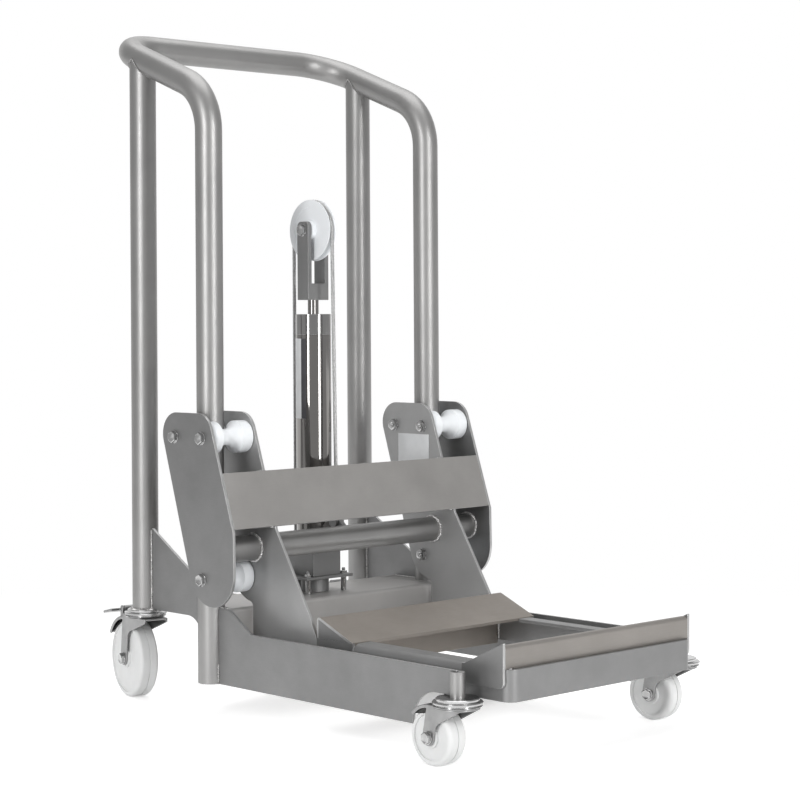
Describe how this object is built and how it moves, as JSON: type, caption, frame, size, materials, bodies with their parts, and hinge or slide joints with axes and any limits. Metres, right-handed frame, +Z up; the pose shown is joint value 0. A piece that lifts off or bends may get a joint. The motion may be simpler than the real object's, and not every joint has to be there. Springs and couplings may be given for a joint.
{
  "type": "roll handler",
  "caption": "Stainless lift trolley for rolls: bent-tube mast, carriage on grooved rollers, low open cradle, foot-pumped cylinder with pulley and rope, swivel casters",
  "frame": {"origin": "On the floor, under the middle of the whole object's box", "axes": "+Z up, -Y towards the cradle at the front, +Y towards the handle, +X to the right when seen from the front"},
  "size_m": [0.564, 0.8928, 1.0847],
  "materials": {
    "satin_steel": "satin",
    "polished_steel": "polished",
    "white_nylon": "smooth",
    "wire_rope": "stranded",
    "pressed_steel": "satin",
    "bright_fasteners": "bright"
  },
  "bodies": {
    "chassis": {"mast_loop": "satin_steel", "rear_posts": "satin_steel", "gusset_plates": "satin_steel", "side_leg_left": "satin_steel", "side_leg_right": "satin_steel", "front_stems": "satin_steel", "cross_beam": "satin_steel", "caster_heads": "pressed_steel", "foot_plate": "satin_steel", "foot_studs": "bright_fasteners", "foot_spacers": "satin_steel", "valve_block": "satin_steel", "cylinder_tube": "polished_steel", "gland_nut": "polished_steel", "fixed_rope_anchor": "satin_steel", "rope_rear_run": "wire_rope", "pump_body": "satin_steel", "pressure_pipe": "satin_steel"},
    "carriage": {"outer_plate_left": "satin_steel", "outer_plate_right": "satin_steel", "arm_plate_left": "satin_steel", "arm_plate_right": "satin_steel", "cross_plate": "satin_steel", "cross_tube": "satin_steel", "cradle_band": "satin_steel", "cradle_ramp": "satin_steel", "cradle_wedge": "satin_steel", "cradle_cheeks": "satin_steel", "roller_bolts": "bright_fasteners", "carriage_rope_anchor": "satin_steel"},
    "rod_body": {"lift_rod": "polished_steel", "piston": "polished_steel", "clevis": "satin_steel", "pulley_pin": "bright_fasteners", "rope_wrap": "wire_rope", "rope_front_run": "wire_rope"},
    "pulley_body": {"pulley": "white_nylon"},
    "roller_body_left_top_front": {"roller_left_top_front": "white_nylon"},
    "roller_body_left_top_rear": {"roller_left_top_rear": "white_nylon"},
    "roller_body_left_low": {"roller_left_low": "white_nylon"},
    "roller_body_right_top_front": {"roller_right_top_front": "white_nylon"},
    "roller_body_right_top_rear": {"roller_right_top_rear": "white_nylon"},
    "roller_body_right_low": {"roller_right_low": "white_nylon"},
    "swivel_front_left": {"caster_fork_front_left": "pressed_steel", "caster_axle_front_left": "pressed_steel"},
    "wheel_front_left": {"caster_wheel_front_left": "white_nylon"},
    "swivel_front_right": {"caster_fork_front_right": "pressed_steel", "caster_axle_front_right": "pressed_steel"},
    "wheel_front_right": {"caster_wheel_front_right": "white_nylon"},
    "swivel_rear_left": {"caster_fork_rear_left": "pressed_steel", "caster_axle_rear_left": "pressed_steel"},
    "wheel_rear_left": {"caster_wheel_rear_left": "white_nylon"},
    "brake_rear_left": {"brake_pedal_rear_left": "pressed_steel"},
    "swivel_rear_right": {"caster_fork_rear_right": "pressed_steel", "caster_axle_rear_right": "pressed_steel"},
    "wheel_rear_right": {"caster_wheel_rear_right": "white_nylon"},
    "brake_rear_right": {"brake_pedal_rear_right": "pressed_steel"},
    "pump_pedal_body": {"pump_pedal": "satin_steel"},
    "plunger_body": {"pump_plunger": "satin_steel"},
    "release_body": {"release_lever": "satin_steel"}
  },
  "joints": [
    {"name": "carriage_lift", "type": "slide", "parent": "chassis", "child": "carriage", "axis": [0, 0, 1], "range_m": [0, 0.4]},
    {"name": "rod_slide", "type": "slide", "parent": "chassis", "child": "rod_body", "axis": [0, 0, 1], "range_m": [0, 0.2], "deforming": ["rope_front_run", "rope_rear_run"]},
    {"name": "pulley_spin", "type": "hinge", "parent": "rod_body", "child": "pulley_body", "pos_m": [0, 0.18404, 0.758], "axis": [1, 0, 0], "range_deg": [-243, 0]},
    {"name": "roller_spin_left_top_front", "type": "hinge", "parent": "carriage", "child": "roller_body_left_top_front", "pos_m": [-0.233, 0.12564, 0.432], "axis": [1, 0, 0], "range_deg": [-1836, 0]},
    {"name": "roller_spin_left_top_rear", "type": "hinge", "parent": "carriage", "child": "roller_body_left_top_rear", "pos_m": [-0.233, 0.19364, 0.432], "axis": [1, 0, 0], "range_deg": [0, 1836]},
    {"name": "roller_spin_left_low", "type": "hinge", "parent": "carriage", "child": "roller_body_left_low", "pos_m": [-0.233, 0.12564, 0.216], "axis": [1, 0, 0], "range_deg": [-1836, 0]},
    {"name": "roller_spin_right_top_front", "type": "hinge", "parent": "carriage", "child": "roller_body_right_top_front", "pos_m": [0.233, 0.12564, 0.432], "axis": [1, 0, 0], "range_deg": [-1836, 0]},
    {"name": "roller_spin_right_top_rear", "type": "hinge", "parent": "carriage", "child": "roller_body_right_top_rear", "pos_m": [0.233, 0.19364, 0.432], "axis": [1, 0, 0], "range_deg": [0, 1836]},
    {"name": "roller_spin_right_low", "type": "hinge", "parent": "carriage", "child": "roller_body_right_low", "pos_m": [0.233, 0.12564, 0.216], "axis": [1, 0, 0], "range_deg": [-1836, 0]},
    {"name": "caster_swivel_front_left", "type": "hinge", "parent": "chassis", "child": "swivel_front_left", "pos_m": [-0.233, -0.38386, 0.08], "axis": [0, 0, 1], "continuous": true},
    {"name": "wheel_spin_front_left", "type": "hinge", "parent": "swivel_front_left", "child": "wheel_front_left", "pos_m": [-0.23234, -0.34586, 0.04], "axis": [0.9998, -0.0175, 0], "continuous": true},
    {"name": "caster_swivel_front_right", "type": "hinge", "parent": "chassis", "child": "swivel_front_right", "pos_m": [0.233, -0.38386, 0.08], "axis": [0, 0, 1], "continuous": true},
    {"name": "wheel_spin_front_right", "type": "hinge", "parent": "swivel_front_right", "child": "wheel_front_right", "pos_m": [0.22969, -0.346, 0.04], "axis": [0.9962, 0.0872, 0], "continuous": true},
    {"name": "caster_swivel_rear_left", "type": "hinge", "parent": "chassis", "child": "swivel_rear_left", "pos_m": [-0.233, 0.33164, 0.125], "axis": [0, 0, 1], "continuous": true},
    {"name": "wheel_spin_rear_left", "type": "hinge", "parent": "swivel_rear_left", "child": "wheel_rear_left", "pos_m": [-0.22289, 0.37652, 0.0625], "axis": [0.9755, -0.2198, 0], "continuous": true},
    {"name": "brake_press_rear_left", "type": "hinge", "parent": "swivel_rear_left", "child": "brake_rear_left", "pos_m": [-0.21981, 0.39018, 0.1417], "axis": [0.9755, -0.2198, 0], "range_deg": [-8, 0]},
    {"name": "caster_swivel_rear_right", "type": "hinge", "parent": "chassis", "child": "swivel_rear_right", "pos_m": [0.233, 0.33164, 0.125], "axis": [0, 0, 1], "continuous": true},
    {"name": "wheel_spin_rear_right", "type": "hinge", "parent": "swivel_rear_right", "child": "wheel_rear_right", "pos_m": [0.233, 0.37764, 0.0625], "axis": [1, 0, 0], "continuous": true},
    {"name": "brake_press_rear_right", "type": "hinge", "parent": "swivel_rear_right", "child": "brake_rear_right", "pos_m": [0.233, 0.39164, 0.1417], "axis": [1, 0, 0], "range_deg": [-8, 0]},
    {"name": "pump_press", "type": "hinge", "parent": "chassis", "child": "pump_pedal_body", "pos_m": [0, 0.25564, 0.186], "axis": [1, 0, 0], "range_deg": [-15, 0], "stiffness_Nm_per_rad": 3, "springref_deg": 40.11},
    {"name": "plunger_push", "type": "slide", "parent": "chassis", "child": "plunger_body", "axis": [0, 0, 1], "range_m": [-0.0075, 0]},
    {"name": "release_press", "type": "hinge", "parent": "chassis", "child": "release_body", "pos_m": [-0.03, 0.27164, 0.143], "axis": [1, 0, 0], "range_deg": [-12, 0], "stiffness_Nm_per_rad": 1, "springref_deg": 28.65}
  ],
  "couplings": [
    {"joint": "rod_slide", "follows": "carriage_lift", "ratio": 0.5},
    {"joint": "pulley_spin", "follows": "carriage_lift", "rad_per_m": -10.526},
    {"joint": "roller_spin_left_top_front", "follows": "carriage_lift", "rad_per_m": -80},
    {"joint": "roller_spin_left_top_rear", "follows": "carriage_lift", "rad_per_m": 80},
    {"joint": "roller_spin_left_low", "follows": "carriage_lift", "rad_per_m": -80},
    {"joint": "roller_spin_right_top_front", "follows": "carriage_lift", "rad_per_m": -80},
    {"joint": "roller_spin_right_top_rear", "follows": "carriage_lift", "rad_per_m": 80},
    {"joint": "roller_spin_right_low", "follows": "carriage_lift", "rad_per_m": -80},
    {"joint": "plunger_push", "follows": "pump_press", "m_per_rad": 0.027}
  ]
}
